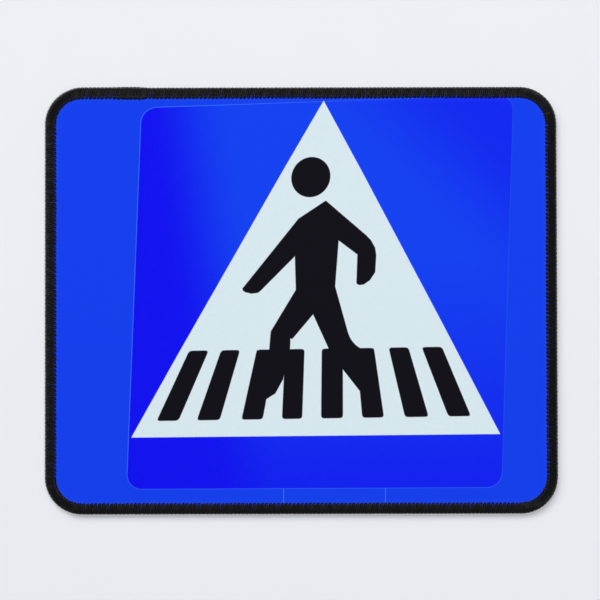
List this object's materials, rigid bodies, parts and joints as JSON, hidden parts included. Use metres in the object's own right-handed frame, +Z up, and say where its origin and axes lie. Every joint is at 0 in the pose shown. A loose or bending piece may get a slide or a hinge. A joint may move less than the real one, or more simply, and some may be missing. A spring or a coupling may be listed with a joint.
{
  "type": "mouse pad",
  "caption": "Flat cloth mouse pad on a rubber base with an overlocked edge and a printed picture of a pedestrian crossing sign.",
  "frame": {"origin": "centre of the underside, on the surface that the pad lies on", "axes": "+X along the long side, +Y along the short side towards the picture's top, +Z up out of the mousing surface"},
  "size_m": [0.24, 0.2, 0.0033],
  "materials": {
    "foam_rubber": "matt black foamed rubber with a fine moulded grip texture",
    "glue_film": "thin cured glue layer, out of sight between cloth and rubber",
    "printed_cloth": "fine smooth polyester cloth, dye printed in blue, white and black",
    "needle_thread": "twisted black polyester thread",
    "looper_thread": "soft textured black polyester thread"
  },
  "bodies": {
    "root": {"rubber_base": "foam_rubber", "bonding_film": "glue_film", "cloth_top": "printed_cloth", "needle_thread": "needle_thread", "upper_looper_thread": "looper_thread", "lower_looper_thread": "looper_thread"}
  },
  "joints": []
}
